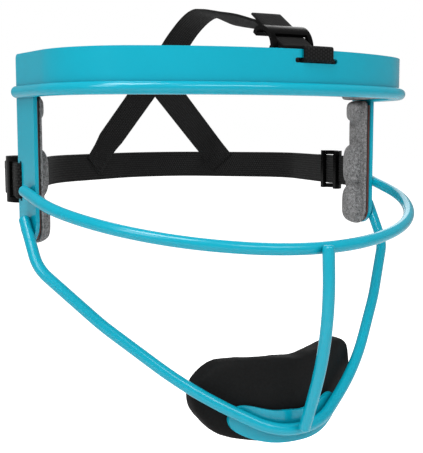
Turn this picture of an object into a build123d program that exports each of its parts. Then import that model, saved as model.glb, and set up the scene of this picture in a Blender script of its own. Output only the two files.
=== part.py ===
from build123d import *
import os
from math import acos, atan, atan2, cos, degrees, radians, sin, sqrt, tan

# Softball face guard, in millimetres, +Z up.
# X = 0 is the plane of symmetry of the steel cage, -Y is where the face looks.
# The origin is the middle of the head opening, on the height of the brow bar.

# Steel sheet and wire
wire_radius = 2.38
brow_bar_radius = 2.53
sheet = 1.6
weld_sink = 0.1
wire_end_round = 1.3
sheet_edge_round = 0.35

# Forehead band: outer face in plan, as a front arc, two corner arcs and two straight sides
band_front_y = -64.4
band_front_radius = 135.0
band_front_half_angle = 27.0
band_corner_radius = 44.0
side_toe = 5.5
side_run = 26.3
band_top_z = 15.2
band_rear_corner_radius = 2.0
bar_z = -0.47
bar_outset = 0.28
cut_over = 3.0
join_tolerance = 0.01

# Side plates, hanging from the brow bar in line with the band's straight sides
plate_width = 18.15
plate_bottom_z = -63.0
strap_slot_length = 15.2
strap_slot_width = 2.0
strap_slot_margin = 2.0
back_strap_z = -37.6

# Crown strap slot in the band
crown_slot_centre_x = 12.9
crown_slot_length = 21.7
crown_slot_z = 10.9

# Cheek loop: ends lie along the plates, the rest in one sloping plane
wire_end_run = 15.6
loop_end_z = -41.0
loop_slope = 12.61
loop_end_straight = 26.2
loop_cheek_x = 67.36
loop_cheek_y = -65.18
loop_front_x = 17.48
loop_front_y = -86.46
loop_radii = [57.8, 92.0, 82.0]

# Jaw bar: ends lie along the plates, then it falls forward to the chin
jaw_end_z = -52.2
jaw_heel_run = 13.68
jaw_heel_z = -71.91
jaw_side_x = 67.41
jaw_side_y = -32.39
jaw_side_z = -93.91
jaw_low_x = 39.36
jaw_low_y = -56.2
jaw_low_z = -118.97
jaw_chin_x = 10.27
jaw_chin_y = -71.73
jaw_chin_z = -135.07
jaw_radii = [19.8, 133.0, 155.0, 29.0]

# Nose bar: one wire in the plane of symmetry, welded in front of the loop and the jaw bar
nose_top_rise = 1.6
nose_upper_y = -92.58
nose_upper_z = -92.75
nose_lower_y = -81.6
nose_lower_z = -121.1
nose_end_y = -75.9
nose_end_z = -134.4
nose_radii = [112.0, 128.0]

# Chin plate: a curved strip behind the jaw bar
chin_plan_radius = 39.4
chin_flat_half = 0.4114118
chin_cope = 0.35
chin_plate_half = 25.7
chin_plate_top_z = -125.2
chin_plate_bottom_z = -140.9
chin_plate_shares = [(0, 0.64), (0.35, 0.72), (0.62, 0.93), (0.79, 1.0), (0.94, 0.79), (1.0, 0.24), (0.955, -0.18),
                     (0.805, -0.54), (0.58, -0.81), (0.32, -0.96), (0, -1.0)]

# Hook tape and running gaps
tape = 0.8
pad_gap = 0.3
tape_inset = 1.2

# Forehead pad
forehead_pad_thick = 6.5
forehead_pad_top_z = 13.5
forehead_pad_bottom_z = -1.7
forehead_pad_round = 2.8
forehead_tape_bottom_z = 3.2

# Side pads: a thin skirt with three lobes
pad_front_margin = 2.0
pad_rear_margin = 0.2
pad_top_z = -3.4
pad_bottom_z = -63.6
skirt = 1.6
skirt_round = 0.7
lobe_front_inset = 3.6
lobe_rear_inset = 0.9
lobe_round = 2.6
lobe_corner = 3.2
top_lobe_height = 5.6
top_lobe_bottom_z = -12.5
middle_lobe_height = 6.8
middle_lobe_top_z = -24.0
middle_lobe_bottom_z = -44.2
bottom_lobe_height = 7.4
lobe_valley = 0.9
lobe_end_inset = 0.9

# Chin pad: a moulded cup
chin_pad_half = 40.0
chin_pad_top_z = -104.5
chin_pad_height = 37.0
chin_pad_bottom_z = chin_pad_top_z - chin_pad_height
chin_pad_aside = 1.8
chin_pad_tilt = 4.0
chin_pad_shares = [(0, 1.0), (0.46, 0.973), (0.765, 0.892), (0.906, 0.703), (0.982, 0.378), (1.0, 0.054),
                   (0.982, -0.27), (0.906, -0.568), (0.74, -0.811), (0.51, -0.93), (0, -1.0)]
chin_pad_deep = 9.5
chin_pad_round = 2.6
chin_dish_radius = 26.0
chin_dish_deep = 2.7
chin_dish_round = 1.0

# Webbing
web_width = 15.0
web = 1.2
web_gap = 0.2
web_bend = 1.0

# Back strap: a ring round the back of the head, skewed to the wearer's left
hinge_run = 0.5
flare_left_side = 9.5
tuck_right_side = 6.6
left_tail = 41.0
right_tail = 33.0
merge_run = 4.2
merge_radius = 4.0
ring_left_run = 84.8
ring_right_run = 33.0
ring_back = [(52.8, 141.0), (20.0, 142.0), (-40.0, 108.0), (-64.0, 62.0)]
ring_radii = [28.0, 36.0, 52.0, 58.0, 40.0, 12.0]

# Crown strap, from its free tail through the slider and the slot, over the head and down
crown_slider_centre = (13.0, -39.5, 22.8)
crown_pitch = 32.0
crown_tail = 18.5
crown_merge = 11.0
crown_leave = 12.5
crown_turn_z = 14.9
crown_turn_radius = 1.5
crown_top = [(10.5, 5.0, 34.0), (25.3, 66.1, 45.8), (19.2, 86.5, 24.0)]
crown_top_radii = [150.0, 42.0, 30.0]
crown_top_roll = [23.0, 9.0, 33.0]
crown_top_yaw = [0, 0, 17.0]
leave_radius = 12.0
left_leg_ring_x = -4.0
left_leg_top_z = -26.3
left_leg_bottom_z = -37.3
left_leg_lean = 43.0
leg_radius = 12.0

# Crown strap's second leg
right_leg_ring_x = 65.7
right_leg_lean = 40.0
right_leg_run = 13.0
leg_cross_run = 14.0
leg_start_run = 6.0
leg_knee_run = 12.0

# Sliders: gloss moulded ladder buckles
slider_length = 18.0
slider_width = 20.0
slider_bar = 7.6
slider_end_bar = 3.0
slider_thick = 1.8
slider_gap = 0.3
slider_round = 0.6
left_slider_run = 20.6
right_slider_run = 14.4


def unit(vector):
    return vector.normalized()


def run_nodes(corners, radii):
    """Lines and arcs of a rounded run: for each, its start, its middle for an arc, and its end."""
    points = [Vector(*corner) for corner in corners]
    nodes = []
    last = points[0]
    for before, corner, after, radius in zip(points, points[1:], points[2:], radii):
        u = unit(before - corner)
        v = unit(after - corner)
        half_turn = (radians(180) - acos(max(-1, min(1, u.dot(v))))) / 2
        tangent = radius * tan(half_turn)
        start = corner + u * tangent
        end = corner + v * tangent
        middle = corner + unit(u + v) * (radius / cos(half_turn) - radius)
        nodes.append((last, start))
        nodes.append((start, middle, end))
        last = end
    nodes.append((last, points[-1]))
    return [node for node in nodes if (node[-1] - node[0]).length > join_tolerance]


def run_wire(corners, radii):
    edges = []
    for node in run_nodes(corners, radii):
        edges.append(Edge.make_line(*node) if len(node) == 2 else Edge.make_three_point_arc(*node))
    return Wire(edges)


def rod(corners, radii, radius, end_round):
    """A round wire bent along a rounded run, with softened ends."""
    path = run_wire(corners, radii)
    start = Plane(origin=path @ 0, z_dir=path % 0)
    body = sweep(start * Circle(radius), path=path)
    if end_round:
        caps = [body.faces().sort_by_distance(path @ place)[0] for place in (0, 1)]
        body = fillet([edge for cap in caps for edge in cap.edges()], end_round)
    return body


def ribbon(corners, radii, low, high):
    """Plan of a strip along a rounded run, from offset low to offset high on its left-hand side."""
    sides = ([], [])
    for node in run_nodes(corners, radii):
        first = unit(node[1] - node[0])
        if len(node) == 2:
            normals = [Vector(-first.Y, first.X)] * 2
        else:
            chord = unit(node[2] - node[0])
            bulge = node[1] - (node[0] + node[2]) / 2
            across = Vector(-chord.Y, chord.X)
            half = 2 * atan2(bulge.length, (node[2] - node[0]).length / 2)
            turn = -half if across.dot(bulge) > 0 else half
            normals = [across.rotate(Axis.Z, degrees(-turn)), across, across.rotate(Axis.Z, degrees(turn))]
        for side, shift in zip(sides, (low, high)):
            places = [place + normal * shift for place, normal in zip(node, normals)]
            side.append(Edge.make_line(*places) if len(node) == 2 else Edge.make_three_point_arc(*places))
    low_side, high_side = sides
    ends = [Edge.make_line(low_side[-1] @ 1, high_side[-1] @ 1), Edge.make_line(high_side[0] @ 0, low_side[0] @ 0)]
    return Face(Wire(low_side + high_side + ends))


def standing(face, bottom, top):
    return extrude(Pos(0, 0, bottom) * face, top - bottom, dir=(0, 0, 1))


def strap(corners, radii, across, steps_share=6):
    """Webbing along a rounded run in space, with the direction of its width given at each corner."""
    places = []
    directions = []
    widths = []
    nodes = run_nodes(corners, radii)
    rows = [Vector(*row) for row in across]
    places.append(nodes[0][0])
    directions.append(unit(nodes[0][1] - nodes[0][0]))
    widths.append(rows[0])
    arcs = [node for node in nodes if len(node) == 3]
    for row, node in zip(rows[1:], arcs):
        arc = Edge.make_three_point_arc(*node)
        turn = acos(max(-1, min(1, (arc % 0).dot(arc % 1))))
        steps = max(2, round(degrees(turn) * steps_share / 90))
        for step in range(steps + 1):
            places.append(arc @ (step / steps))
            directions.append(arc % (step / steps))
            widths.append(row)
    places.append(nodes[-1][-1])
    directions.append(unit(nodes[-1][-1] - nodes[-1][0]))
    widths.append(rows[-1])
    sections = []
    for place, direction, row in zip(places, directions, widths):
        flat = unit(row - direction * row.dot(direction))
        sections.append(Plane(origin=place, x_dir=flat, z_dir=direction) * Rectangle(web_width, web))
    return loft(sections, ruled=True)


def mirrored(half):
    return half + [(-point[0],) + tuple(point[1:]) for point in reversed(half)]


# Plan of the band's outer face
front_angle = radians(band_front_half_angle)
toe = radians(side_toe)
front_end = Vector(band_front_radius * sin(front_angle),
                   band_front_y + band_front_radius * (1 - cos(front_angle)))
front_way = Vector(cos(front_angle), sin(front_angle))
corner_turn = radians(90) - toe - front_angle
side_along = Vector(sin(toe), cos(toe))
side_out = Vector(cos(toe), -sin(toe))
corner_tangent = band_corner_radius * tan(corner_turn / 2)
band_corner = front_end + front_way * corner_tangent
side_start = band_corner + side_along * corner_tangent
band_apex = front_end - front_way * band_front_radius * tan(front_angle)


def side_point(run, out):
    """A point beside the wearer's left plate: run backward along it, out from its outer face."""
    point = side_start + side_along * run + side_out * out
    return (point.X, point.Y)


def band_plan(rear_run):
    rear = side_point(rear_run, 0)
    corner = (band_corner.X, band_corner.Y)
    return [(-rear[0], rear[1]), (-corner[0], corner[1]), (band_apex.X, band_apex.Y), corner, rear]


band_radii = [band_corner_radius, band_front_radius, band_corner_radius]
plate_plane = Plane(origin=(side_start.X, side_start.Y, 0), x_dir=(side_along.X, side_along.Y, 0),
                    z_dir=(side_out.X, side_out.Y, 0))
plate_rear = side_run
plate_front = side_run - plate_width


def bar_path(rear_run):
    """Corners and radii of the brow bar's centre line, a little outside the band's outer face."""
    radii = [radius + bar_outset for radius in band_radii]
    start = side_point(rear_run, bar_outset)
    tangent = radii[0] * tan(corner_turn / 2)
    near = side_point(0, bar_outset)
    corner = Vector(*near) - side_along * tangent
    apex = band_apex.Y - bar_outset / cos(front_angle)
    half = [(start[0], start[1], bar_z), (corner.X, corner.Y, bar_z)]
    return mirrored(half)[::-1][:2] + [(0, apex, bar_z)] + mirrored(half)[:2][::-1], radii


bar_corners, bar_radii = bar_path(side_run)
brow_bar = rod(bar_corners, bar_radii, brow_bar_radius, wire_end_round)
long_corners, long_radii = bar_path(side_run + cut_over)
bar_cutter = rod(long_corners, long_radii, brow_bar_radius, 0)

# Forehead band: one steel strip on edge, coped onto the bar, with a slot for the crown strap
crown_angle = degrees(atan2(crown_slot_centre_x, sqrt(band_front_radius**2 - crown_slot_centre_x**2)))
forehead_band = standing(ribbon(band_plan(side_run), band_radii, 0, sheet), bar_z, band_top_z)
band_rear_edges = forehead_band.edges().filter_by(
    lambda edge: abs(edge.center().Z - band_top_z) < sheet_edge_round and edge.length < 2 * sheet
    and edge.center().Y > 0)
forehead_band = fillet(band_rear_edges, band_rear_corner_radius)
crown_slot_y = band_front_y + band_front_radius * (1 - cos(radians(crown_angle)))
crown_plane = Plane(origin=(crown_slot_centre_x, crown_slot_y, crown_slot_z),
                    x_dir=(cos(radians(crown_angle)), sin(radians(crown_angle)), 0),
                    z_dir=(sin(radians(crown_angle)), -cos(radians(crown_angle)), 0))
crown_slot = extrude(crown_plane * SlotOverall(crown_slot_length, strap_slot_width), cut_over, both=True)
forehead_band = forehead_band - crown_slot - bar_cutter

# Side plate: hangs from the bar, round lower end, upright strap slot near its rear edge
slot_run = plate_rear - strap_slot_margin - strap_slot_width / 2
plate_outline = plate_plane * (
    Pos((plate_front + plate_rear) / 2, (bar_z + plate_bottom_z + plate_width / 2) / 2)
    * Rectangle(plate_width, bar_z - plate_bottom_z - plate_width / 2)
    + Pos((plate_front + plate_rear) / 2, plate_bottom_z + plate_width / 2) * Circle(plate_width / 2))
slot_outline = plate_plane * (Pos(slot_run, back_strap_z) * Rot(0, 0, 90)
                              * SlotOverall(strap_slot_length + strap_slot_width - web_gap, strap_slot_width))
side_plate = extrude(plate_outline, -sheet) - bar_cutter
side_plate = side_plate - extrude(slot_outline, cut_over, both=True)

# Wires of the cage
wire_out = wire_radius - weld_sink
loop_rise = tan(radians(loop_slope))


def loop_place(point):
    return (point[0], point[1], loop_end_z + (point[1] - loop_tip[1]) * loop_rise)


loop_tip = side_point(wire_end_run, wire_out)
loop_half = [loop_tip, side_point(wire_end_run - loop_end_straight, wire_out),
             (loop_cheek_x, loop_cheek_y), (loop_front_x, loop_front_y)]
loop_corners = mirrored([loop_place(point) for point in loop_half])
cheek_loop = rod(loop_corners, loop_radii + loop_radii[::-1], wire_radius, wire_end_round)

jaw_heel = side_point(wire_end_run - jaw_heel_run, wire_out)
jaw_half = [loop_tip + (jaw_end_z,), jaw_heel + (jaw_heel_z,), (jaw_side_x, jaw_side_y, jaw_side_z),
            (jaw_low_x, jaw_low_y, jaw_low_z), (jaw_chin_x, jaw_chin_y, jaw_chin_z)]
jaw_bar = rod(mirrored(jaw_half), jaw_radii + jaw_radii[::-1], wire_radius, wire_end_round)

loop_front = loop_place((0, loop_front_y))
nose_corners = [(0, loop_front[1] - 2 * wire_radius + weld_sink, loop_front[2] + nose_top_rise),
                (0, nose_upper_y, nose_upper_z), (0, nose_lower_y, nose_lower_z), (0, nose_end_y, nose_end_z)]
nose_bar = rod(nose_corners, nose_radii, wire_radius, wire_end_round) - cheek_loop - jaw_bar
cheek_loop = cheek_loop - mirror(side_plate, Plane.YZ) - side_plate
jaw_bar = jaw_bar - mirror(side_plate, Plane.YZ) - side_plate


# Chin: plate, hook patch and cup all follow the jaw bar's plan
def chin_strip(low, high, half_span):
    slope = (jaw_low_y - jaw_chin_y) / (jaw_low_x - jaw_chin_x)
    bend_x = chin_flat_half + chin_plan_radius * tan(atan(slope) / 2)
    end = (half_span, jaw_chin_y + (half_span - bend_x) * slope)
    half = [(-end[0], end[1]), (-bend_x, jaw_chin_y)]
    corners = half + [(-point[0], point[1]) for point in reversed(half)]
    return ribbon(corners, [chin_plan_radius] * 2, low, high)


def front_outline(shares, half, top, bottom, inset, aside=0, tilt=0):
    """A closed outline in the XZ plane from the shares of its right half; tilt raises the wearer's left."""
    right = [(x * (half - inset), z * ((top - bottom) / 2 - inset)) for x, z in shares]
    left = [(-x, z) for x, z in reversed(right[1:-1])]
    seat = Pos(aside, (top + bottom) / 2) * Rot(0, 0, tilt)
    return Plane.XZ * seat * make_face(Spline(*(right + left), periodic=True))


chin_reach = chin_pad_half + chin_pad_deep
chin_face = wire_radius - chin_cope
patch_face = chin_face + sheet
chin_pad_face = patch_face + tape + pad_gap


def chin_layer(low, high, *form):
    """A layer behind the jaw bar between two offsets, trimmed to an outline seen from the front."""
    slab = standing(chin_strip(low, high, chin_reach), chin_pad_bottom_z - chin_reach, chin_pad_top_z + chin_reach)
    return slab & extrude(front_outline(*form), -jaw_chin_y + cut_over, both=True)


plate_form = (chin_plate_shares, chin_plate_half, chin_plate_top_z, chin_plate_bottom_z)
chin_plate = chin_layer(chin_face, patch_face, *plate_form, 0) - jaw_bar - nose_bar
chin_patch = chin_layer(patch_face, patch_face + tape, *plate_form, tape_inset)
chin_back = chin_pad_face + chin_pad_deep
chin_pad = chin_layer(chin_pad_face, chin_back, chin_pad_shares, chin_pad_half, chin_pad_top_z, chin_pad_bottom_z,
                      0, chin_pad_aside, chin_pad_tilt)
chin_pad = fillet(chin_pad.edges(), chin_pad_round)
dish_centre = Vector(chin_pad_aside, jaw_chin_y + chin_back - chin_dish_deep + chin_dish_radius,
                     (chin_pad_top_z + chin_pad_bottom_z) / 2)
chin_pad = chin_pad - Pos(dish_centre) * Sphere(chin_dish_radius)
dish_rim = [edge for edge in chin_pad.edges()
            if abs((edge @ (1 / 2) - dish_centre).length - chin_dish_radius) < join_tolerance
            and abs((edge @ 0 - dish_centre).length - chin_dish_radius) < join_tolerance]
chin_pad = fillet(dish_rim, chin_dish_round)

# Forehead pad and its hook tape, both notched for the inner layer of the crown strap
tape_face = sheet + tape
pad_face = tape_face + pad_gap
notch_half = crown_slot_length / 2 + web_gap
notch_low = crown_slot_z - strap_slot_width / 2 - web_gap - pad_gap
notch_deep = sheet + web_gap + web + pad_gap
forehead_pad = standing(ribbon(band_plan(side_run), band_radii, pad_face, pad_face + forehead_pad_thick),
                        forehead_pad_bottom_z, forehead_pad_top_z)
strap_notch = crown_plane * Pos(0, (band_top_z + cut_over + notch_low) / 2 - crown_slot_z, 0) * Box(
    2 * notch_half, band_top_z + cut_over - notch_low, 2 * (notch_deep + web_gap))
pad_inner_plan = extrude(ribbon(band_plan(side_run), band_radii, pad_face + forehead_pad_thick - pad_gap,
                                pad_face + forehead_pad_thick + pad_gap), forehead_pad_top_z + cut_over, both=True)
pad_crown_edges = [edge for edge in forehead_pad.edges()
                   if edge.length > 2 * forehead_pad_thick and pad_inner_plan.is_inside(edge @ (1 / 2))]
forehead_pad = fillet(pad_crown_edges, forehead_pad_round)
forehead_pad = forehead_pad - strap_notch
forehead_tape = standing(ribbon(band_plan(side_run - tape_inset), band_radii, sheet, tape_face),
                         forehead_tape_bottom_z, forehead_pad_top_z - tape_inset) - strap_notch

# Side pad: skirt and lobes on the inner face of the plate, with a pocket for the strap's inner layer
pad_front = plate_front + pad_front_margin
pad_rear = plate_rear - pad_rear_margin
pad_middle = (pad_front + pad_rear) / 2
pad_half = (pad_rear - pad_front) / 2


def plate_block(front, rear, bottom, top, low, high, corner):
    outline = Pos((front + rear) / 2, (bottom + top) / 2) * RectangleRounded(rear - front, top - bottom, corner)
    return extrude(plate_plane.offset(-low) * outline, -(high - low))


def lobe(bottom, top, height):
    block = plate_block(pad_front + lobe_front_inset, pad_rear - lobe_rear_inset, bottom, top,
                        pad_face + skirt / 2, sheet + height, lobe_corner)
    head = block.faces().sort_by(Axis.X)[0]
    return fillet(head.edges(), lobe_round)


skirt_outline = (Pos(pad_middle, (pad_top_z + pad_bottom_z + pad_half) / 2)
                 * Rectangle(2 * pad_half, pad_top_z - pad_bottom_z - pad_half)
                 + Pos(pad_middle, pad_bottom_z + pad_half) * Circle(pad_half))
side_pad = extrude(plate_plane.offset(-pad_face) * skirt_outline, -skirt)
skirt_head = side_pad.faces().sort_by(Axis.X)[0]
side_pad = fillet(skirt_head.edges(), skirt_round)
side_pad = side_pad + lobe(top_lobe_bottom_z, pad_top_z - lobe_end_inset / 2, top_lobe_height)
side_pad = side_pad + lobe(middle_lobe_bottom_z, middle_lobe_top_z, middle_lobe_height)
side_pad = side_pad + lobe(pad_bottom_z + lobe_end_inset, middle_lobe_bottom_z - lobe_valley, bottom_lobe_height)
pocket_front = slot_run - strap_slot_width / 2 - pad_gap
pocket_half = strap_slot_length / 2 + pad_gap
pocket = plate_plane * Pos((pocket_front + plate_rear + cut_over) / 2, back_strap_z, -notch_deep / 2 - sheet / 2) * Box(
    plate_rear + cut_over - pocket_front, 2 * pocket_half, notch_deep + sheet)
side_pad = side_pad - pocket
side_tape_outline = (Pos(pad_middle, (pad_top_z + pad_bottom_z + pad_half) / 2 - tape_inset / 2)
                     * Rectangle(2 * (pad_half - tape_inset), pad_top_z - pad_bottom_z - pad_half - tape_inset)
                     + Pos(pad_middle, pad_bottom_z + pad_half) * Circle(pad_half - tape_inset))
side_tape = extrude(plate_plane.offset(-sheet) * side_tape_outline, -tape) - pocket

# Back strap: one webbing; each end goes round the strip behind its slot and back through a slider
stack_half = (web + web_gap) / 2
strip_out = web_gap + web / 2


def stack_frame(flare):
    """Origin, direction and outward normal of the two layers behind the wearer's left plate."""
    origin = Vector(*side_point(plate_rear + hinge_run, -sheet / 2))
    angle = radians(flare)
    return origin, Vector(sin(angle), cos(angle)), Vector(cos(angle), -sin(angle))


def stack_point(flare, run, out):
    origin, along, outward = stack_frame(flare)
    point = origin + along * run + outward * out
    return (point.X, point.Y)


def strap_end(flare, tail):
    return [stack_point(flare, tail, stack_half), stack_point(flare, merge_run, stack_half),
            side_point(plate_rear, strip_out), side_point(slot_run, strip_out),
            side_point(slot_run, -sheet - strip_out), side_point(plate_rear, -sheet - strip_out),
            stack_point(flare, merge_run, -stack_half)]


end_radii = [merge_radius, merge_radius / 2, web_bend, web_bend, merge_radius / 2, merge_radius]
left_end = strap_end(flare_left_side, left_tail)
right_end = [(-x, y) for x, y in reversed(strap_end(-tuck_right_side, right_tail))]
ring_corners = [stack_point(flare_left_side, ring_left_run, -stack_half)] + ring_back
ring_last = stack_point(-tuck_right_side, ring_right_run, -stack_half)
ring_corners = ring_corners + [(-ring_last[0], ring_last[1])]
back_corners = left_end + ring_corners + right_end
back_radii = end_radii + ring_radii + end_radii[::-1]
back_strap = standing(ribbon(back_corners, back_radii, -web / 2, web / 2), back_strap_z - web_width / 2,
                      back_strap_z + web_width / 2)


# Crown strap
def crown_point(deep, z):
    point = crown_plane.origin - crown_plane.z_dir * deep
    return (point.X, point.Y, z)


crown_way = Vector(0, cos(radians(crown_pitch)), sin(radians(crown_pitch)))
crown_up = Vector(0, -sin(radians(crown_pitch)), cos(radians(crown_pitch)))


def crown_stack(run, out):
    point = Vector(*crown_slider_centre) + crown_way * run + crown_up * out
    return (point.X, point.Y, point.Z)


def ring_landing(first, second, x, lean_sign, lean, z):
    """A point on the inner face of a straight stretch of the back strap, and the leg's way down it."""
    a = Vector(*first)
    b = Vector(*second)
    along = unit(b - a)
    inward = Vector(-along.Y, along.X)
    run = (x - a.X) / along.X
    point = a + along * run + inward * web
    level = along * lean_sign
    way = Vector(level.X * sin(radians(lean)), level.Y * sin(radians(lean)), -cos(radians(lean)))
    wide = Vector(level.X * cos(radians(lean)), level.Y * cos(radians(lean)), sin(radians(lean)))
    return Vector(point.X, point.Y, z), way, wide


left_land, left_way, left_wide = ring_landing(ring_corners[2], ring_corners[3], left_leg_ring_x, 1,
                                              left_leg_lean, left_leg_top_z)
left_wide = left_wide * -1
left_foot = left_land + left_way * ((left_leg_top_z - left_leg_bottom_z) / cos(radians(left_leg_lean)))
crown_corners = [crown_stack(crown_tail, stack_half), crown_stack(-crown_merge, stack_half),
                 crown_point(-strip_out, band_top_z + strip_out), crown_point(-strip_out, crown_slot_z),
                 crown_point(sheet + strip_out, crown_slot_z), crown_point(sheet + strip_out, crown_turn_z),
                 crown_stack(-crown_merge, -stack_half), crown_stack(crown_leave, -stack_half)]
crown_corners = crown_corners + crown_top + [tuple(left_land), tuple(left_foot)]
crown_radii = [merge_radius, web_bend, web_bend, web_bend, crown_turn_radius, merge_radius, leave_radius]
crown_radii = crown_radii + crown_top_radii + [leg_radius]
band_row = tuple(crown_plane.x_dir)
straight_row = (1, 0, 0)
top_rows = [(cos(radians(yaw)) * cos(radians(roll)), sin(radians(yaw)) * cos(radians(roll)), -sin(radians(roll)))
            for yaw, roll in zip(crown_top_yaw, crown_top_roll)]
crown_rows = [straight_row] * 2 + [band_row] * 4 + [straight_row] * 2 + top_rows + [tuple(left_wide)] * 2
crown_strap = strap(crown_corners, crown_radii, crown_rows)

# Second leg, sewn to the crown strap's inner face at its top and to the back strap at its foot
right_land, right_way, right_wide = ring_landing(ring_corners[0], ring_corners[1], right_leg_ring_x, -1,
                                                 right_leg_lean, left_leg_top_z)
right_foot = right_land + right_way * right_leg_run
leg_fall = unit(left_land - Vector(*crown_top[2]))
leg_face = unit(leg_fall.cross(left_wide))
leg_face = leg_face if leg_face.Y < 0 else leg_face * -1
leg_base = Vector(*crown_top[2]) + leg_fall * leg_cross_run + leg_face * web
leg_way = right_land - leg_base
leg_way = unit(leg_way - leg_face * leg_way.dot(leg_face))
leg_row = leg_way.cross(leg_face)
leg_row = leg_row if leg_row.dot(right_wide) > 0 else leg_row * -1
leg_corners = [leg_base - leg_way * leg_start_run, leg_base + leg_way * leg_knee_run, right_land, right_foot]
crown_leg = strap([tuple(corner) for corner in leg_corners], [leg_radius, leg_radius],
                  [tuple(leg_row)] * 2 + [tuple(right_wide)] * 2) - crown_strap


# Sliders
def slider_body():
    """A ladder buckle round two layers of webbing: length on X, width on Y, outward on Z."""
    inner = stack_half + web / 2 + slider_gap
    outer = inner + slider_thick
    half_length = slider_length / 2
    foot = slider_end_bar / 2
    top = ThreePointArc((-half_length, -inner), (0, outer), (half_length, -inner))
    low = ThreePointArc((-half_length + foot, -outer), (0, inner), (half_length - foot, -outer))
    ends = [Polyline(low @ 0, (-half_length, -outer), top @ 0), Polyline(low @ 1, (half_length, -outer), top @ 1)]
    arch = extrude(Plane.XZ * make_face([top, low] + ends), slider_width / 2, both=True)
    channel = Box(slider_length + cut_over, web_width + 2 * slider_gap, 2 * inner)
    window_run = half_length - slider_end_bar - slider_bar / 2
    window_at = slider_bar / 2 + window_run / 2
    window = Box(window_run, web_width + 2 * slider_gap, slider_length)
    windows = Pos(window_at, 0, 0) * window + Pos(-window_at, 0, 0) * window
    end_bar = Box(slider_end_bar, slider_width, slider_thick)
    end_at = half_length - slider_end_bar / 2
    bars = Pos(end_at, 0, -(inner + outer) / 2) * end_bar + Pos(-end_at, 0, -(inner + outer) / 2) * end_bar
    return arch - channel - windows + bars


slider = slider_body()
left_origin, left_along, left_outward = stack_frame(flare_left_side)
left_at = left_origin + left_along * left_slider_run
left_slider = Plane(origin=(left_at.X, left_at.Y, back_strap_z), x_dir=tuple(left_along),
                    z_dir=tuple(left_outward)) * slider
right_origin, right_along, right_outward = stack_frame(-tuck_right_side)
right_at = right_origin + right_along * right_slider_run
right_slider = mirror(Plane(origin=(right_at.X, right_at.Y, back_strap_z), x_dir=tuple(right_along),
                            z_dir=tuple(right_outward)) * slider, Plane.YZ)
crown_slider = Plane(origin=crown_slider_centre, x_dir=tuple(crown_way), z_dir=tuple(crown_up)) * slider

parts = {
    "forehead_band": forehead_band,
    "brow_bar": brow_bar,
    "side_plate_left": side_plate,
    "side_plate_right": mirror(side_plate, Plane.YZ),
    "cheek_loop_bar": cheek_loop,
    "jaw_bar": jaw_bar,
    "nose_bar": nose_bar,
    "chin_plate": chin_plate,
    "chin_hook_patch": chin_patch,
    "chin_pad": chin_pad,
    "forehead_pad": forehead_pad,
    "forehead_hook_tape": forehead_tape,
    "side_pad_left": side_pad,
    "side_pad_right": mirror(side_pad, Plane.YZ),
    "side_hook_tape_left": side_tape,
    "side_hook_tape_right": mirror(side_tape, Plane.YZ),
    "back_strap": back_strap,
    "crown_strap": crown_strap,
    "crown_strap_leg": crown_leg,
    "back_slider_left": left_slider,
    "back_slider_right": right_slider,
    "crown_slider": crown_slider,
}

os.makedirs("parts", exist_ok=True)
for name, part in parts.items():
    export_step(part, os.path.join("parts", name + ".step"))
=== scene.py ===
import math

import bmesh
import bpy
from mathutils import Matrix, Vector


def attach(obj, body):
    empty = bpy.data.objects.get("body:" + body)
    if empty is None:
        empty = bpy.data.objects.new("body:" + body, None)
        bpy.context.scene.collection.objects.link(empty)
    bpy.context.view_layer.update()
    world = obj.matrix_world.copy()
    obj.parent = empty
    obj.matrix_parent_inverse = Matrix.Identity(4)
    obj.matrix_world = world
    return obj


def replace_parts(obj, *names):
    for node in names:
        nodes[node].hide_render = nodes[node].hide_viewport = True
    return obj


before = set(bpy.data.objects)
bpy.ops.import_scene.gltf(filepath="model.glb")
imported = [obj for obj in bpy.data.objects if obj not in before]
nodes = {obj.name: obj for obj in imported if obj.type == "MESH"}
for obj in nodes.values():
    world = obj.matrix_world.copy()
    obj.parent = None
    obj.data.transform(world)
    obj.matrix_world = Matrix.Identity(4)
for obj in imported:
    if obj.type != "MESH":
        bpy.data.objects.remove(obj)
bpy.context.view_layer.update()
MM = 0.001
SEAM_GAP = 0.01 * MM

# Photograph: how the camera stands and looks
CAMERA_YAW = 27.87
CAMERA_PITCH = 6.25
CAMERA_ROLL = -0.09
CAMERA_DISTANCE = 415.1
CAMERA_AIM = (-1.09, 0.0, -60.64)
CAMERA_LENS = 71.62
SENSOR_WIDTH = 36.0
CLIP_NEAR, CLIP_FAR = 0.02, 20.0

# Webbing, in mm: its section, and how closely its run is followed
WEB_WIDTH = 15.0
WEB_THICK = 1.2
SELVEDGE = 0.5
SHOULDER_IN, SHOULDER_UP, EDGE_UP = 0.28, 0.6, 0.94
FACE_SHARES = (-0.55, 0.0, 0.55)
STATION_STEP = 2.0
TWIST_EASE = 7
DEGREES_PER_STATION = 5.0
BACK_STRAP_Z = -37.6

# Weave and knit: shares of brightness, and the part of a noise's range in use
NOISE_LOW, NOISE_HIGH = 0.3, 0.7
RIB_FULL, HOLLOW_LIGHT = 0.9, 0.05
SELVEDGE_START, SELVEDGE_LIGHT = 0.84, 0.45
FLECK_SCALE, FLECK_DARK, FLECK_LIGHT = 1.3, 0.8, 1.15
FINE_SHARE, CLUMP_SHARE, CLUMP_SCALE = 0.65, 0.35, 0.35
YARN_LOW, YARN_HIGH = 0.38, 0.62
CREVICE_CLOSED, CREVICE_OPEN, CREVICE_SAMPLES = 0.35, 0.9, 12
COAT_ROUGH = 0.12


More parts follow.
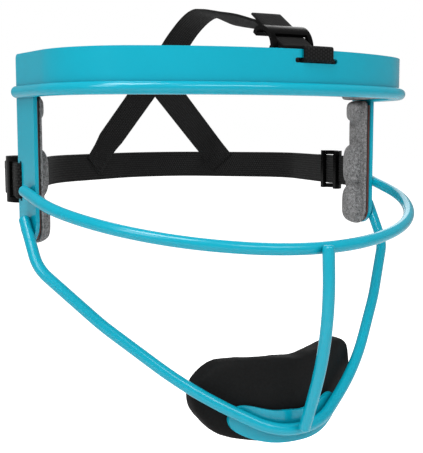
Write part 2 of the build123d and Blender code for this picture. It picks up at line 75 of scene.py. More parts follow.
# Camera
def photo_camera():
    camera_data = bpy.data.cameras.new("photo_camera")
    camera_data.lens = CAMERA_LENS
    camera_data.sensor_width = SENSOR_WIDTH
    camera_data.clip_start = CLIP_NEAR
    camera_data.clip_end = CLIP_FAR
    camera = bpy.data.objects.new("photo_camera", camera_data)
    bpy.context.scene.collection.objects.link(camera)
    yaw, pitch, roll = (math.radians(angle) for angle in (CAMERA_YAW, CAMERA_PITCH, CAMERA_ROLL))
    back = Vector((-math.sin(yaw) * math.cos(pitch), -math.cos(yaw) * math.cos(pitch), math.sin(pitch)))
    level = Vector((math.cos(yaw), -math.sin(yaw), 0.0))
    upright = back.cross(level)
    right = level * math.cos(roll) + upright * math.sin(roll)
    up = upright * math.cos(roll) - level * math.sin(roll)
    place = (Vector(CAMERA_AIM) + back * CAMERA_DISTANCE) * MM
    turn = Matrix((right, up, back)).transposed().to_4x4()
    camera.matrix_world = Matrix.Translation(place) @ turn
    bpy.context.scene.camera = camera


# Shader groups: an effect that several finishes share is made once
def new_group(name, inputs, outputs):
    group = bpy.data.node_groups.new(name, "ShaderNodeTree")
    for label, kind, value in inputs:
        socket = group.interface.new_socket(label, in_out="INPUT", socket_type=kind)
        if value is not None:
            socket.default_value = value
    for label in outputs:
        group.interface.new_socket(label, in_out="OUTPUT", socket_type="NodeSocketFloat")
    return group, group.nodes.new("NodeGroupInput").outputs, group.nodes.new("NodeGroupOutput").inputs


def feed(tree, value, socket):
    """A link where the value is another node's output, or else a plain number or colour."""
    if isinstance(value, (int, float, tuple)):
        socket.default_value = value
    else:
        tree.links.new(value, socket)


def math_node(tree, operation, *values):
    node = tree.nodes.new("ShaderNodeMath")
    node.operation = operation
    for socket, value in zip(node.inputs, values):
        feed(tree, value, socket)
    return node.outputs[0]


def noise_node(tree, vector, scale, detail=2.0, roughness=0.5):
    node = tree.nodes.new("ShaderNodeTexNoise")
    node.inputs["Detail"].default_value = detail
    node.inputs["Roughness"].default_value = roughness
    tree.links.new(vector, node.inputs["Vector"])
    feed(tree, scale, node.inputs["Scale"])
    return node.outputs["Fac"]


def stretch(tree, value, low, high, to_low=0.0, to_high=1.0):
    node = tree.nodes.new("ShaderNodeMapRange")
    tree.links.new(value, node.inputs["Value"])
    for label, bound in (("From Min", low), ("From Max", high), ("To Min", to_low), ("To Max", to_high)):
        feed(tree, bound, node.inputs[label])
    return node.outputs["Result"]


def make_surface_grain():
    """Grain of a coating or a moulding: a fine pebble and broad, faint patches."""
    group, given, out = new_group(
        "surface grain",
        [("Place", "NodeSocketVector", None), ("Fine", "NodeSocketFloat", 900.0),
         ("Broad", "NodeSocketFloat", 60.0)],
        ["Height", "Patches"])
    patches = noise_node(group, given["Place"], given["Broad"])
    group.links.new(noise_node(group, given["Place"], given["Fine"], detail=3.0), out["Height"])
    group.links.new(stretch(group, patches, NOISE_LOW, NOISE_HIGH), out["Patches"])
    return group


def make_woven_ribs():
    """Warp and weft of a woven band, from the run and the width in mm, with painted shade in the hollows and
    darker selvedges.
    """
    group, given, out = new_group(
        "woven ribs",
        [("Band", "NodeSocketVector", None), ("Warp", "NodeSocketFloat", 1.0),
         ("Weft", "NodeSocketFloat", 1.0), ("Half Width", "NodeSocketFloat", WEB_WIDTH / 2)],
        ["Height", "Light"])
    split = group.nodes.new("ShaderNodeSeparateXYZ")
    group.links.new(given["Band"], split.inputs[0])
    along = math_node(group, "DIVIDE", split.outputs["X"], given["Weft"])
    across = math_node(group, "DIVIDE", split.outputs["Y"], given["Warp"])
    every_other = math_node(group, "FLOORED_MODULO", math_node(group, "FLOOR", across), 2.0)
    shifted = math_node(group, "ADD", along, math_node(group, "MULTIPLY", every_other, 0.5))
    weft, warp = (math_node(group, "ABSOLUTE", math_node(group, "SINE", math_node(
        group, "MULTIPLY", count, math.pi))) for count in (shifted, across))
    height = math_node(group, "MULTIPLY", warp, weft)
    rim = math_node(group, "DIVIDE", math_node(group, "ABSOLUTE", split.outputs["Y"]), given["Half Width"])
    selvedge = stretch(group, rim, SELVEDGE_START, 1.0, 1.0, SELVEDGE_LIGHT)
    fleck = stretch(group, noise_node(group, given["Band"], FLECK_SCALE, detail=3.0), NOISE_LOW, NOISE_HIGH,
                    FLECK_DARK, FLECK_LIGHT)
    # Painted shade: the hollows between the ribs keep only a small share of brightness
    ribs = stretch(group, height, 0.0, RIB_FULL, HOLLOW_LIGHT, 1.0)
    light = math_node(group, "MULTIPLY", ribs, selvedge)
    group.links.new(height, out["Height"])
    group.links.new(math_node(group, "MULTIPLY", light, fleck), out["Light"])
    return group


def make_heather_yarn():
    """Flecks of light and dark fibre in a brushed knit, with the knit's own fine relief."""
    group, given, out = new_group(
        "heather yarn",
        [("Place", "NodeSocketVector", None), ("Yarn", "NodeSocketFloat", 1500.0)],
        ["Fleck", "Height"])
    clump_scale = math_node(group, "MULTIPLY", given["Yarn"], CLUMP_SCALE)
    fine = noise_node(group, given["Place"], given["Yarn"], detail=4.0, roughness=0.65)
    clump = noise_node(group, given["Place"], clump_scale, detail=3.0)
    both = math_node(group, "ADD", math_node(group, "MULTIPLY", fine, FINE_SHARE),
                     math_node(group, "MULTIPLY", clump, CLUMP_SHARE))
    group.links.new(stretch(group, both, YARN_LOW, YARN_HIGH), out["Fleck"])
    group.links.new(fine, out["Height"])
    return group


def make_crevice_shade():
    """Painted shade: how much light a surface keeps where another one stands within reach, as in a groove or
    at a weld.
    """
    group, given, out = new_group(
        "crevice shade",
        [("Reach", "NodeSocketFloat", 4.0 * MM), ("Darkest", "NodeSocketFloat", 0.6)],
        ["Light"])
    near = group.nodes.new("ShaderNodeAmbientOcclusion")
    near.samples = CREVICE_SAMPLES
    group.links.new(given["Reach"], near.inputs["Distance"])
    group.links.new(stretch(group, near.outputs["AO"], CREVICE_CLOSED, CREVICE_OPEN, given["Darkest"], 1.0),
                    out["Light"])
    return group


surface_grain = make_surface_grain()
crevice_shade = make_crevice_shade()
woven_ribs = make_woven_ribs()
heather_yarn = make_heather_yarn()


# Finishes
def new_finish(name, specular, sheen=0.0, coat=0.0):
    material = bpy.data.materials.new(name)
    material.use_nodes = True
    tree = material.node_tree
    shader = tree.nodes["Principled BSDF"]
    shader.inputs["Specular IOR Level"].default_value = specular
    shader.inputs["Sheen Weight"].default_value = sheen
    shader.inputs["Coat Weight"].default_value = coat
    shader.inputs["Coat Roughness"].default_value = COAT_ROUGH
    return material, tree, shader


def own_place(tree):
    return tree.nodes.new("ShaderNodeTexCoord").outputs["Object"]


def grey(light):
    return (light, light, light)


def place_group(tree, group, values):
    node = tree.nodes.new("ShaderNodeGroup")
    node.node_tree = group
    for label, value in values.items():
        feed(tree, value, node.inputs[label])
    return node.outputs


def mix_colours(tree, share, first, second, blend="MIX"):
    mix = tree.nodes.new("ShaderNodeMix")
    mix.data_type = "RGBA"
    mix.blend_type = blend
    colours = [socket for socket in mix.inputs if socket.type == "RGBA"]
    for value, socket in ((share, mix.inputs[0]), (first, colours[0]), (second, colours[1])):
        feed(tree, value, socket)
    return [socket for socket in mix.outputs if socket.type == "RGBA"][0]


def tint(tree, shader, share, dark, light):
    tree.links.new(mix_colours(tree, share, (*dark, 1.0), (*light, 1.0)), shader.inputs["Base Color"])


def raise_surface(tree, shader, height, distance, strength):
    bump = tree.nodes.new("ShaderNodeBump")
    bump.inputs["Distance"].default_value = distance
    bump.inputs["Strength"].default_value = strength
    tree.links.new(height, bump.inputs["Height"])
    tree.links.new(bump.outputs["Normal"], shader.inputs["Normal"])


def grained_finish(name, dark, light, rough, fine, broad, relief, specular, sheen=0.0, coat=0.0, by="Patches"):
    """A coating or moulding: its colour drifts a little, its roughness too, over a fine relief."""
    material, tree, shader = new_finish(name, specular, sheen, coat)
    grain = place_group(tree, surface_grain, {"Place": own_place(tree), "Fine": fine, "Broad": broad})
    tint(tree, shader, grain[by], dark, light)
    tree.links.new(stretch(tree, grain["Patches"], 0.0, 1.0, *rough), shader.inputs["Roughness"])
    raise_surface(tree, shader, grain["Height"], distance=relief, strength=0.6)
    return material


def shade_crevices(material, reach, darkest):
    """Paints shade into a finish's colour near other surfaces; the reach is in mm."""
    tree = material.node_tree
    base = tree.nodes["Principled BSDF"].inputs["Base Color"]
    shade = place_group(tree, crevice_shade, {"Reach": reach * MM, "Darkest": darkest})["Light"]
    tree.links.new(mix_colours(tree, 1.0, base.links[0].from_socket, shade, "MULTIPLY"), base)


def black_webbing():
    material, tree, shader = new_finish("black woven webbing", specular=0.15, sheen=0.04)
    band = tree.nodes.new("ShaderNodeUVMap")
    band.uv_map = "band"
    weave = place_group(tree, woven_ribs, {"Band": band.outputs["UV"], "Warp": 1.25, "Weft": 1.3})
    tint(tree, shader, weave["Light"], grey(0.0002), grey(0.0160))
    shader.inputs["Roughness"].default_value = 0.8
    raise_surface(tree, shader, weave["Height"], distance=0.00022, strength=0.8)
    return material


def heather_knit():
    material, tree, shader = new_finish("heather grey brushed knit", specular=0.1, sheen=0.15)
    yarn = place_group(tree, heather_yarn, {"Place": own_place(tree), "Yarn": 2300.0})
    tint(tree, shader, yarn["Fleck"], (0.060, 0.0595, 0.060), (0.40, 0.397, 0.40))
    shader.inputs["Roughness"].default_value = 0.95
    raise_surface(tree, shader, yarn["Height"], distance=0.0004, strength=0.7)
    return material


# Colours from dark to light, roughness from smooth to rough, the grain's two scales, and its relief in metres
powder_coat = grained_finish(
    "teal powder coat", (0.0008, 0.415, 0.560), (0.0010, 0.425, 0.574), rough=(0.19, 0.22),
    fine=2600.0, broad=30.0, relief=0.000004, specular=0.36, coat=0.25)
# Painted shade in the coat's colour near other surfaces, as in grooves and at welds
shade_crevices(powder_coat, reach=4.0, darkest=0.62)
webbing_cloth = black_webbing()
tape_cloth = grained_finish(
    "rust brown hook tape", (0.070, 0.026, 0.022), (0.20, 0.080, 0.064), rough=(0.75, 0.9),
    fine=1600.0, broad=150.0, relief=0.0002, specular=0.2, sheen=0.1, by="Height")
knit = heather_knit()
# Painted shade in the knit's colour near other surfaces
shade_crevices(knit, reach=5.0, darkest=0.3)
foam = grained_finish(
    "matte black moulded foam", grey(0.0048), grey(0.0104), rough=(0.66, 0.80),
    fine=1100.0, broad=70.0, relief=0.00010, specular=0.16, by="Height")
gloss_plastic = grained_finish(
    "gloss black plastic", grey(0.0012), grey(0.0022), rough=(0.22, 0.30),
    fine=700.0, broad=60.0, relief=0.00001, specular=0.09)


# Steel and sliders: the solids stay, with softened edges
def shade_smooth(piece):
    piece.data.polygons.foreach_set("use_smooth", [True] * len(piece.data.polygons))


def wear(piece, material):
    piece.data.materials.clear()
    piece.data.materials.append(material)


def close_seams(piece):
    weld = piece.modifiers.new("close seams", "WELD")
    weld.merge_threshold = SEAM_GAP


def soften_edges(piece, edge_round, angle=50):
    """Rounds the edges sharper than the angle in degrees; the round is in mm."""
    close_seams(piece)
    bevel = piece.modifiers.new("soft edges", "BEVEL")
    bevel.width = edge_round * MM
    bevel.segments = 3
    bevel.limit_method = "ANGLE"
    bevel.angle_limit = math.radians(angle)
    piece.modifiers.new("even shading", "WEIGHTED_NORMAL")


def finish_solid(name, material, edge_round):
    solid = nodes[name]
    wear(solid, material)
    shade_smooth(solid)
    soften_edges(solid, edge_round)


STEEL = ("forehead_band", "brow_bar", "side_plate_left", "side_plate_right", "cheek_loop_bar", "jaw_bar",
         "nose_bar", "chin_plate")
SLIDERS = ("back_slider_left", "back_slider_right", "crown_slider")
STEEL_EDGE, SLIDER_EDGE = 0.35, 0.45
for name in STEEL:
    finish_solid(name, powder_coat, STEEL_EDGE)
for name in SLIDERS:
    finish_solid(name, gloss_plastic, SLIDER_EDGE)


def finish_mesh(build, name):
    bmesh.ops.recalc_face_normals(build, faces=build.faces)
    mesh = bpy.data.meshes.new(name)
    build.to_mesh(mesh)
    build.free()
    return mesh


def new_piece(name, mesh, material, body):
    piece = bpy.data.objects.new(name, mesh)
    bpy.context.scene.collection.objects.link(piece)
    wear(piece, material)
    shade_smooth(piece)
    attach(piece, body)
    return piece


# Webbing: each strap is laid along its own run, with rounded selvedges
def run_stations(corners, radii, rows):
    """Places, directions and width directions along a run whose corners are rounded by arcs."""
    points = [Vector(corner) for corner in corners]
    stations = [(points[0], (points[1] - points[0]).normalized(), Vector(rows[0]))]
    for index, radius in enumerate(radii):
        before, corner, after = points[index:index + 3]
        into = (corner - before).normalized()
        out = (after - corner).normalized()
        turn = into.angle(out)
        start = corner - into * radius * math.tan(turn / 2)
        centre = corner + (out - into).normalized() * (radius / math.cos(turn / 2))
        axis = into.cross(out).normalized()
        steps = max(2, round(math.degrees(turn) / DEGREES_PER_STATION))
        for step in range(steps + 1):
            swing = Matrix.Rotation(turn * step / steps, 3, axis)
            stations.append((centre + swing @ (start - centre), swing @ into, Vector(rows[index + 1])))
    stations.append((points[-1], (points[-1] - points[-2]).normalized(), Vector(rows[-1])))
    return stations


def fill_in(stations):
    """More stations on the long straight stretches, so that a twist there is smooth."""
    filled = [stations[0]]
    for first, second in zip(stations, stations[1:]):
        parts = max(1, math.ceil((second[0] - first[0]).length / STATION_STEP))
        for part in range(1, parts + 1):
            filled.append(tuple(first[k].lerp(second[k], part / parts) for k in range(3)))
    eased = []
    for index, (place, direction, row) in enumerate(filled):
        reach = min(TWIST_EASE, index, len(filled) - 1 - index)
        near = filled[index - reach:index + reach + 1]
        eased.append((place, direction, sum((station[2] for station in near), Vector()) / len(near)))
    return eased


def webbing_section():
    """Outline of the webbing across its run: two flat faces between round selvedges."""
    half, thick = WEB_WIDTH / 2, WEB_THICK / 2
    shoulder, edge = SHOULDER_IN * SELVEDGE, EDGE_UP * thick
    top = [(-half, 0.0), (-half + shoulder, SHOULDER_UP * thick), (-half + SELVEDGE, edge)]
    top += [(part * half, thick) for part in FACE_SHARES]
    top += [(half - SELVEDGE, edge), (half - shoulder, SHOULDER_UP * thick)]
    return top + [(-x, -y) for x, y in top]


def lay_webbing(name, corners, radii, rows, stands_for):
    build = bmesh.new()
    outline = webbing_section()
    rings, runs = [], []
    travelled, last = 0.0, None
    for place, direction, row in fill_in(run_stations(corners, radii, rows)):
        travelled += (place - last).length if last else 0.0
        last = place
        across = (row - direction * row.dot(direction)).normalized()
        up = direction.cross(across)
        rings.append([build.verts.new((place + across * x + up * y) * MM) for x, y in outline])
        runs.append(travelled)
    band = build.loops.layers.uv.new("band")
    count = len(outline)
    for index in range(len(rings) - 1):
        for k in range(count):
            n = (k + 1) % count
            corners_used = ((index, k), (index, n), (index + 1, n), (index + 1, k))
            face = build.faces.new([rings[at][which] for at, which in corners_used])
            for loop, (at, which) in zip(face.loops, corners_used):
                loop[band].uv = (runs[at], outline[which][0])
    for ring in (rings[0][::-1], rings[-1]):
        for loop in build.faces.new(ring).loops:
            loop[band].uv = (0.0, WEB_WIDTH / 2)
    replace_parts(new_piece(name, finish_mesh(build, name), webbing_cloth, "guard"), stands_for)


# Free tail, plate slot and back again on the wearer's left, round the head, and the same on the right
BACK_RUN = [(94.34, 52.38), (88.27, 16.08), (88.43, 11.4), (88.14, 8.42), (84.95, 8.72), (85.24, 11.71),
            (86.89, 16.31), (100.19, 95.81), (52.8, 141.0), (20.0, 142.0), (-40.0, 108.0), (-64.0, 62.0),
            (-82.39, 44.76), (-85.7, 16.15), (-85.24, 11.71), (-84.95, 8.72), (-88.14, 8.42), (-88.43, 11.4),
            (-87.1, 16.31), (-83.79, 44.92)]
BACK_ROUNDS = [4, 2, 1, 1, 2, 4, 28, 36, 52, 58, 40, 12, 4, 2, 1, 1, 2, 4]
UPRIGHT = (0, 0, 1)
lay_webbing("back_webbing", [(x, y, BACK_STRAP_Z) for x, y in BACK_RUN], BACK_ROUNDS,
            [UPRIGHT] * len(BACK_RUN), "back_strap")

# From its free tail through the slider and the slot, over the head and down the first leg
CROWN_RUN = [(13.0, -24.18, 33.2), (13.0, -49.2, 17.56), (12.98, -64.58, 16.0), (12.98, -64.58, 10.9),
             (12.67, -61.39, 10.9), (12.67, -61.39, 14.9), (13.0, -48.46, 16.38), (13.0, -28.53, 28.83),
             (10.5, 5.0, 34.0), (25.3, 66.1, 45.8), (19.2, 86.5, 24.0), (-3.41, 127.36, -26.3),
             (-12.33, 122.3, -37.3)]
CROWN_ROUNDS = [4, 1, 1, 1, 1.5, 4, 12, 150, 42, 30, 12]
LEVEL, BY_BAND = (1, 0, 0), (0.995, 0.096, 0.0)
OVER_HEAD = [(0.921, 0.0, -0.391), (0.988, 0.0, -0.156), (0.802, 0.245, -0.545)]
FIRST_LEG = (0.636, 0.361, -0.682)
lay_webbing("crown_webbing", CROWN_RUN, CROWN_ROUNDS,
            [LEVEL] * 2 + [BY_BAND] * 4 + [LEVEL] * 2 + OVER_HEAD + [FIRST_LEG] * 2, "crown_strap")

LEG_RUN = [(10.32, 91.88, 16.98), (22.53, 97.86, 5.19), (64.87, 127.83, -26.3), (70.92, 122.06, -36.26)]
LEG_ROUNDS = [12, 12]
LEG_TOP, LEG_FOOT = (0.716, -0.499, 0.488), (0.554, -0.529, 0.643)
lay_webbing("crown_leg_webbing", LEG_RUN, LEG_ROUNDS, [LEG_TOP] * 2 + [LEG_FOOT] * 2, "crown_strap_leg")

# Sewn joints: a box with a cross in it where a leg's end lies on the other strap
STITCH_LONG, STITCH_PITCH, STITCH_ROUND, STITCH_SIDES = 1.9, 2.6, 0.26, 6
STITCH_TAPER = ((-1.0, 0.25), (-0.6, 1.0), (0.6, 1.0), (1.0, 0.25))
SEAM_HALF_RUN, SEAM_HALF_WIDTH, SEAM_MARGIN = 4.0, 5.2, 1.6
LAP_BACK = 1.5 * WEB_THICK


def add_stitch(build, middle, way, across, up):
    """One stitch: a short thread, round in section, tapering into the cloth at both ends."""
    rings = []
    for along, size in STITCH_TAPER:
        centre = middle + way * (along * STITCH_LONG / 2)
        ring = []
        for k in range(STITCH_SIDES):
            angle = math.tau * k / STITCH_SIDES
            outward = across * math.cos(angle) + up * math.sin(angle)
            ring.append(build.verts.new((centre + outward * STITCH_ROUND * size) * MM))
        rings.append(ring)
    for first, second in zip(rings, rings[1:]):
        for k in range(STITCH_SIDES):
            n = (k + 1) % STITCH_SIDES
            build.faces.new((first[k], first[n], second[n], second[k]))
    build.faces.new(rings[0][::-1])
    build.faces.new(rings[-1])


def sew(name, end, towards, row, back_face):
    """Stitches on both faces of a lap: end and towards lie on the upper webbing's middle layer."""
    end, towards, row = Vector(end), Vector(towards), Vector(row)
    way = (towards - end).normalized()
    across = (row - way * row.dot(way)).normalized()
    face = across.cross(way)
    face = face if face.y < 0 else -face
    middle = end + way * (SEAM_HALF_RUN + SEAM_MARGIN)
    a, b = SEAM_HALF_RUN, SEAM_HALF_WIDTH
    lines = [((-a, -b), (a, -b)), ((a, -b), (a, b)), ((a, b), (-a, b)), ((-a, b), (-a, -b)),
             ((-a, -b), (a, b)), ((-a, b), (a, -b))]
    build = bmesh.new()
    for rise in (WEB_THICK / 2, -back_face):
        for start, stop in lines:
            start, stop = (middle + way * u + across * v + face * rise for u, v in (start, stop))
            along = (stop - start).normalized()
            count = max(1, int((stop - start).length / STITCH_PITCH))
            for k in range(count):
                add_stitch(build, start.lerp(stop, (k + 0.5) / count), along, along.cross(face), face)
    new_piece(name, finish_mesh(build, name), foam, "guard")


sew("first_leg_stitches", CROWN_RUN[-1], CROWN_RUN[-2], FIRST_LEG, LAP_BACK)
sew("second_leg_stitches", LEG_RUN[-1], LEG_RUN[-2], LEG_FOOT, LAP_BACK)
sew("crown_lap_stitches", LEG_RUN[0], LEG_RUN[1], LEG_TOP, LAP_BACK)


# Padded pieces: each is meshed evenly from its solid or its own form, then swelled by a short cloth run
CLOTH_PRESSURE, CLOTH_QUALITY, CLOTH_FRAMES = 3.0, 5, 20
CORNER_EASE = 3


def settle(piece):
    """Applies a piece's modifiers to its mesh."""
    view = bpy.context.evaluated_depsgraph_get()
    settled = bpy.data.meshes.new_from_object(piece.evaluated_get(view))
    piece.modifiers.clear()
    piece.data = settled
    shade_smooth(piece)


def swell(pad, most, seat_way):
    """A short cloth run under pressure. No point moves further than the cap, and none moves into the seat."""
    rest = [vertex.co.copy() for vertex in pad.data.vertices]
    cloth = pad.modifiers.new("swell", "CLOTH")
    cloth.settings.use_pressure = True
    cloth.settings.uniform_pressure_force = CLOTH_PRESSURE
    cloth.settings.effector_weights.gravity = 0.0
    cloth.settings.quality = CLOTH_QUALITY
    cloth.point_cache.frame_end = CLOTH_FRAMES
    for step in range(1, CLOTH_FRAMES + 1):
        bpy.context.scene.frame_set(step)
    settle(pad)
    bpy.context.scene.frame_set(1)
    for vertex, start in zip(pad.data.vertices, rest):
        move = vertex.co - start
        way = seat_way(start)
        move -= way * max(0.0, move.dot(way))
        if move.length > most:
            move *= most / move.length
        vertex.co = start + move


def dress_pad(name, source, voxel, material, most, seat_way, form=None, shape=None):
    """A padded piece for a solid; its mesh size and the most that it swells are in mm."""
    mesh = form or nodes[source].data.copy()
    pad = new_piece(name, mesh, material, source + "_body")
    close_seams(pad)
    remesh = pad.modifiers.new("even mesh", "REMESH")
    remesh.mode = "VOXEL"
    remesh.voxel_size = voxel * MM
    settle(pad)
    if shape:
        for vertex in pad.data.vertices:
            vertex.co += shape(vertex.co / MM) * MM
    smooth = pad.modifiers.new("ease corners", "SMOOTH")
    smooth.iterations = CORNER_EASE
    settle(pad)
    wear(pad, material)
    swell(pad, most * MM, seat_way)
    finer = pad.modifiers.new("finer", "SUBSURF")
    finer.levels = finer.render_levels = 1
    settle(pad)
    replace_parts(pad, source)


def to_band(place):
    """Way to the band from a point of the forehead pad."""
    return Vector((place.x, min(0.0, place.y - BAND_MIDDLE_Y), 0.0)).normalized()


def always(*way):
    """The same way to the seat from every point of a pad."""
    return lambda place: Vector(way)


BAND_MIDDLE_Y = 20.0 * MM
TO_LEFT_PLATE, TO_RIGHT_PLATE = always(1.0, 0.0, 0.0), always(-1.0, 0.0, 0.0)
TO_CHIN_PLATE = always(0.0, -1.0, 0.0)

# Side pads: a thin base against the plate with three raised lobes, in the plate's own run, height and z
PLATE_START = (85.1106, -14.6988)
PLATE_ALONG = (0.095846, 0.995396)
PLATE_OUT = (0.995396, -0.095846)
PAD_FRONT, PAD_REAR = 8.5, 24.9
PAD_TOP, PAD_BOTTOM = -2.2, -63.5
PAD_HALF = (PAD_REAR - PAD_FRONT) / 2
PAD_TURN = PAD_BOTTOM + PAD_HALF
PAD_SEAT, POCKET_SEAT, PAD_LEAST = 2.7, 4.9, 0.9
POCKET_FRONT, POCKET_LOW, POCKET_HIGH = 22.0, -45.5, -29.7
SIDE_WALL, BASE_RISE, BASE_ROUND = 0.5, 0.9, 1.2
# Each lobe's middle and half height along z, and how far it rises
LOBES = ((-7.0, 5.6, 3.4), (-34.2, 10.7, 5.2), (-53.9, 10.3, 5.7))
LOBE_MIDDLE, LOBE_HALF, LOBE_ROUND = 18.3, 6.3, 3.0
LOBE_ACROSS, LOBE_ALONG, LOBE_DOME = 2.4, 3.6, 0.42
FOOT_CREASE = 0.55
TOP_CORNER = 2.5
ROW_STEP, COLUMNS, CORNER_ROWS, FOOT_ROWS = 0.7, 26, 6, 18


def pad_rows():
    """Heights of the rows across the pad, with its half width at each."""
    rows = []
    for k in range(CORNER_ROWS + 1):
        angle = math.radians(90 - 90 / CORNER_ROWS * k)
        rows.append((PAD_TOP - TOP_CORNER * (1 - math.sin(angle)),
                     PAD_HALF - TOP_CORNER * (1 - math.cos(angle))))
    straight = round((PAD_TOP - TOP_CORNER - PAD_TURN) / ROW_STEP)
    for k in range(1, straight + 1):
        rows.append((PAD_TOP - TOP_CORNER + (PAD_TURN - PAD_TOP + TOP_CORNER) * k / straight, PAD_HALF))
    for k in range(1, FOOT_ROWS):
        angle = math.radians(90 / FOOT_ROWS * k)
        rows.append((PAD_TURN - PAD_HALF * math.sin(angle), PAD_HALF * math.cos(angle)))
    return rows


def rounded(distance, reach):
    """Share of full height at a distance from the rim of a rounded edge."""
    return math.sqrt(1 - (1 - min(distance / reach, 1)) ** 2)


def pad_heights(run, z, rim):
    """Seat and top of the pad, inward of the plate's outer face."""
    seat = PAD_SEAT
    if run > POCKET_FRONT and POCKET_LOW < z < POCKET_HIGH:
        seat = POCKET_SEAT
    dome = foot = 0.0
    for middle, half, height in LOBES:
        q = abs((run - LOBE_MIDDLE) / LOBE_HALF) ** LOBE_ACROSS + abs((z - middle) / half) ** LOBE_ALONG
        if q < 1:
            dome = max(dome, height * (1 - q) ** LOBE_DOME)
        elif q < 2:
            foot = max(foot, 1 - (q - 1))
    base = rounded(rim, BASE_ROUND)
    dip = FOOT_CREASE * foot * base if not dome else 0.0
    top = PAD_SEAT + SIDE_WALL + BASE_RISE * base + dome * rounded(rim, LOBE_ROUND) - dip
    return seat, max(top, seat + PAD_LEAST)


def round_rim(rows):
    """The layer's outer points in turn, from its first row round to the first point again."""
    rears, fronts = [row[-1] for row in rows[1:]], [row[0] for row in rows[-2:0:-1]]
    return rows[0] + rears + rows[-1][-2::-1] + fronts


def side_form(name, side):
    """The pad's mesh; side is 1 for the wearer's left and -1 for the right."""
    middle = (PAD_FRONT + PAD_REAR) / 2
    build = bmesh.new()
    layers = ([], [])
    for z, wide in pad_rows():
        rows = ([], [])
        for k in range(COLUMNS + 1):
            across = (2 * k / COLUMNS - 1) * wide
            rim = min(PAD_HALF - abs(across), PAD_TOP - z)
            if z < PAD_TURN:
                rim = PAD_HALF - math.hypot(across, PAD_TURN - z)
            run = middle + across
            for row, height in zip(rows, pad_heights(run, z, max(rim, 0.0))):
                x = PLATE_START[0] + PLATE_ALONG[0] * run - PLATE_OUT[0] * height
                y = PLATE_START[1] + PLATE_ALONG[1] * run - PLATE_OUT[1] * height
                row.append(build.verts.new(Vector((side * x, y, z)) * MM))
        for layer, row in zip(layers, rows):
            layer.append(row)
    for layer in layers:
        for upper, lower in zip(layer, layer[1:]):
            for k in range(COLUMNS):
                build.faces.new((upper[k], upper[k + 1], lower[k + 1], lower[k]))
    seat, top = (round_rim(layer) for layer in layers)
    for k in range(len(seat)):
        n = (k + 1) % len(seat)
        build.faces.new((seat[k], seat[n], top[n], top[k]))
    return finish_mesh(build, name)


# Chin cup: its rim dips to the middle, and its wearer's-right end is rounder than its left
CUP_TOP_DIPS = ((-42, -3.2), (-34, -2.0), (-27, -0.7), (-19, -0.9), (-10, -2.2), (-2, -2.9), (5, -2.4),
                (10, -1.9), (18, -2.6), (26, -2.5), (34, -0.9), (40, 0.3))
CUP_FOOT_RISES = ((-42, 2.2), (-33, 1.7), (-26, 1.4), (-18, 0.9), (-10, 0.4), (0, 0.0), (42, 0.0))
CUP_SLOPE = 0.534
CUP_UPPER, CUP_LOWER = (-123, -110), (127, 138)
CUP_RIGHT_END, CUP_RIGHT_FOOT, CUP_RIGHT_IN, CUP_FOOT_IN = (25, 38), (124, 136), 1.3, 1.4
CUP_LEFT_END, CUP_LEFT_TOP, CUP_LEFT_OUT = (31, 39), (-116, -108), 0.9


def read_table(table, x):
    for (low, first), (high, second) in zip(table, table[1:]):
        if low <= x <= high:
            return first + (second - first) * (x - low) / (high - low)
    return table[0][1] if x < table[0][0] else table[-1][1]


def share(value, low, high):
    """Eased share of the way from low to high."""
    portion = max(0.0, min(1.0, (value - low) / (high - low)))
    return portion * portion * (3 - 2 * portion)


def cup_shape(place):
    """How far a point of the cup moves, in mm."""
    rise = read_table(CUP_TOP_DIPS, place.x) * share(place.z, *CUP_UPPER)
    rise += read_table(CUP_FOOT_RISES, place.x) * share(-place.z, *CUP_LOWER)
    inward = share(-place.x, *CUP_RIGHT_END) * (CUP_RIGHT_IN + CUP_FOOT_IN * share(-place.z, *CUP_RIGHT_FOOT))
    outward = CUP_LEFT_OUT * share(place.x, *CUP_LEFT_END) * share(place.z, *CUP_LEFT_TOP)
    return Vector((inward + outward, CUP_SLOPE * (outward - inward), rise))


dress_pad("forehead_foam", "forehead_pad", voxel=1.2, material=knit, most=0.4,
          seat_way=to_band)
for side, way, sign in (("left", TO_LEFT_PLATE, 1), ("right", TO_RIGHT_PLATE, -1)):
    dress_pad("side_foam_" + side, "side_pad_" + side, voxel=0.6, material=knit,
              most=0.35, seat_way=way, form=side_form("side_foam_" + side, sign))
dress_pad("chin_cup", "chin_pad", voxel=1.1, material=foam, most=0.3,
          seat_way=TO_CHIN_PLATE, shape=cup_shape)


# Hook tape behind the pads: thin strips whose edges show round each pad
TAPE_REACH = 2.3
TAPE_RUN = PAD_REAR - PAD_FRONT - TAPE_REACH
TAPE_EDGE, TAPE_EDGE_ANGLE = 0.15, 30


def dress_tape(source):
    """A tape for its solid; a side tape is drawn forward to its pad's front edge."""
    tape = new_piece(source + "_cloth", nodes[source].data.copy(), tape_cloth, "guard")
    if source.startswith("side"):
        side = math.copysign(1, tape.data.vertices[0].co.x)
        along = Vector((side * PLATE_ALONG[0], PLATE_ALONG[1], 0.0))
        start = Vector((side * PLATE_START[0], PLATE_START[1], 0.0))
        for vertex in tape.data.vertices:
            run = (vertex.co / MM - start).dot(along)
            vertex.co -= along * TAPE_REACH * MM * share(PAD_REAR - run, 0.0, TAPE_RUN)
    soften_edges(tape, TAPE_EDGE, TAPE_EDGE_ANGLE)
    settle(tape)
    wear(tape, tape_cloth)
    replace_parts(tape, source)


for source in ("forehead_hook_tape", "side_hook_tape_left", "side_hook_tape_right", "chin_hook_patch"):
    dress_tape(source)


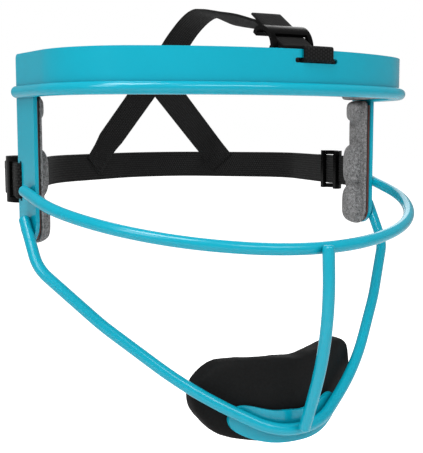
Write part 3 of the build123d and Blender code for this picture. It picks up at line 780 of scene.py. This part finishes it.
# Studio: pale floor, white surroundings and soft lights, in metres and watts
WHITE = (1.0, 1.0, 1.0, 1.0)
SURROUND_LIGHT, FLOOR_LIGHT = 0.30, 0.22
FLOOR_HALF, FLOOR_Z, FLOOR_GREY, FLOOR_ROUGH = 6.0, -0.30, 0.9, 0.9
LIGHTS_AIM = (0, 0, -0.05)
SOFTBOXES = (("top_softbox", (-0.35, -0.30, 0.80), 0.40, 0.40, 4.6),
             ("left_softbox", (-0.85, -0.50, 0.55), 0.40, 0.6, 2.8),
             ("front_fill", (0.15, -0.95, 0.75), 0.7, 0.30, 3.5),
             ("back_rim", (0.55, 0.75, 0.35), 0.5, 0.8, 1.8))


def seen_or_lighting(tree, lighting, socket):
    """Full white where the camera sees it, and a softer light on the object."""
    seen = tree.nodes.new("ShaderNodeLightPath").outputs["Is Camera Ray"]
    tree.links.new(stretch(tree, seen, 0.0, 1.0, lighting, 1.0), socket)


def surroundings():
    scene = bpy.context.scene
    world = bpy.data.worlds.new("white studio")
    world.use_nodes = True
    background = world.node_tree.nodes["Background"]
    background.inputs["Color"].default_value = WHITE
    seen_or_lighting(world.node_tree, SURROUND_LIGHT, background.inputs["Strength"])
    scene.world = world
    scene.view_settings.view_transform = "Standard"


def pale_floor():
    mesh = bpy.data.meshes.new("floor")
    corners = [(x * FLOOR_HALF, y * FLOOR_HALF, FLOOR_Z) for x, y in ((-1, -1), (1, -1), (1, 1), (-1, 1))]
    mesh.from_pydata(corners, [], [(0, 1, 2, 3)])
    floor = bpy.data.objects.new("floor", mesh)
    bpy.context.scene.collection.objects.link(floor)
    pale = bpy.data.materials.new("pale floor")
    pale.use_nodes = True
    shader = pale.node_tree.nodes["Principled BSDF"]
    shader.inputs["Base Color"].default_value = (*grey(FLOOR_GREY), 1.0)
    shader.inputs["Roughness"].default_value = FLOOR_ROUGH
    shader.inputs["Emission Color"].default_value = WHITE
    seen_or_lighting(pale.node_tree, FLOOR_LIGHT, shader.inputs["Emission Strength"])
    mesh.materials.append(pale)


def soft_lights():
    for name, place, wide, tall, power in SOFTBOXES:
        light_data = bpy.data.lights.new(name, "AREA")
        light_data.shape = "RECTANGLE"
        light_data.size, light_data.size_y, light_data.energy = wide, tall, power
        light = bpy.data.objects.new(name, light_data)
        light.location = place
        light.rotation_mode = "QUATERNION"
        light.rotation_quaternion = (Vector(place) - Vector(LIGHTS_AIM)).to_track_quat("Z", "Y")
        bpy.context.scene.collection.objects.link(light)


photo_camera()
surroundings()
pale_floor()
soft_lights()
